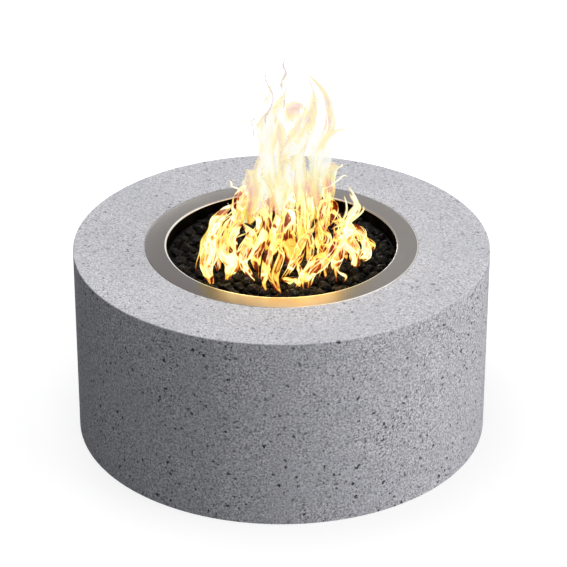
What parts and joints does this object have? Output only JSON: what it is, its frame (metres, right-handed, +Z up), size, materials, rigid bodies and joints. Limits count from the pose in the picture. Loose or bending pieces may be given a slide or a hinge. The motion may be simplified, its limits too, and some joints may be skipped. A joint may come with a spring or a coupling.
{
  "type": "round concrete gas fire pit",
  "caption": "Round cast concrete gas fire pit with a flush steel ring, a bowl of lava rock over a ring burner, and rear gas controls.",
  "frame": {"origin": "centre of the base, on the ground", "axes": "+Z up; the front is -Y; the gas controls and the gas inlet are at the rear, +Y"},
  "size_m": [1.067, 1.067, 0.508],
  "materials": {
    "concrete": "matte",
    "lava_rock": "matte",
    "brushed_stainless": "satin",
    "heated_stainless": "satin",
    "fastener_steel": "satin",
    "spring_steel": "satin",
    "zinc_plate": "satin",
    "black_iron": "matte",
    "cast_aluminium": "satin",
    "brass_fitting": "satin",
    "corrugated_hose": "satin",
    "black_knob": "satin",
    "battery_wrap": "gloss",
    "white_ceramic": "satin",
    "silicone_lead": "matte"
  },
  "bodies": {
    "pit": {"air_mixer": "cast_aluminium", "burner_elbow": "black_iron", "burner_gas_line": "corrugated_hose", "burner_pan": "brushed_stainless", "burner_stands": "heated_stainless", "concrete_shell": "concrete", "control_plate": "brushed_stainless", "control_plate_screws": "fastener_steel", "electrode_insulator": "white_ceramic", "flare_nuts": "brass_fitting", "igniter_battery": "battery_wrap", "igniter_housing": "black_knob", "igniter_nut": "zinc_plate", "igniter_spring": "spring_steel", "igniter_terminals": "fastener_steel", "inlet_bracket": "zinc_plate", "inlet_bracket_screws": "fastener_steel", "inlet_elbow": "brass_fitting", "inlet_gas_line": "corrugated_hose", "inlet_lock_nut": "brass_fitting", "knob_bezel": "zinc_plate", "lava_rock_bed": "lava_rock", "lava_rock_lumps": "lava_rock", "orifice_fitting": "brass_fitting", "pan_lock_nut": "black_iron", "pan_top_nut": "black_iron", "pilot_bracket": "heated_stainless", "pilot_screws": "fastener_steel", "pilot_shield": "heated_stainless", "ring_burner": "heated_stainless", "safety_valve": "cast_aluminium", "spark_electrode": "heated_stainless", "spark_lead": "silicone_lead", "supply_nipple": "black_iron", "thermocouple_lead": "brass_fitting", "thermocouple_nut": "brass_fitting", "thermocouple_probe": "heated_stainless", "valve_return_spring": "spring_steel", "valve_screws": "fastener_steel", "vent_grille_left": "brushed_stainless", "vent_grille_right": "brushed_stainless", "vent_grille_screws": "fastener_steel"},
    "plug": {"valve_plug": "brass_fitting"},
    "knob": {"valve_stem": "fastener_steel", "control_knob": "black_knob"},
    "button": {"igniter_button": "black_knob"}
  },
  "joints": [
    {"name": "knob_turn", "type": "hinge", "parent": "pit", "child": "plug", "pos_m": [0.04, 0.462, 0.35], "axis": [0, 1, 0], "range_deg": [0, 90]},
    {"name": "knob_push", "type": "slide", "parent": "plug", "child": "knob", "axis": [0, -1, 0], "range_m": [0, 0.005], "stiffness_N_per_m": 1500, "springref_m": -0.003, "deforming": ["valve_return_spring"]},
    {"name": "igniter_press", "type": "slide", "parent": "pit", "child": "button", "axis": [0, -1, 0], "range_m": [0, 0.003], "stiffness_N_per_m": 2000, "springref_m": -0.001, "deforming": ["igniter_spring"]}
  ]
}
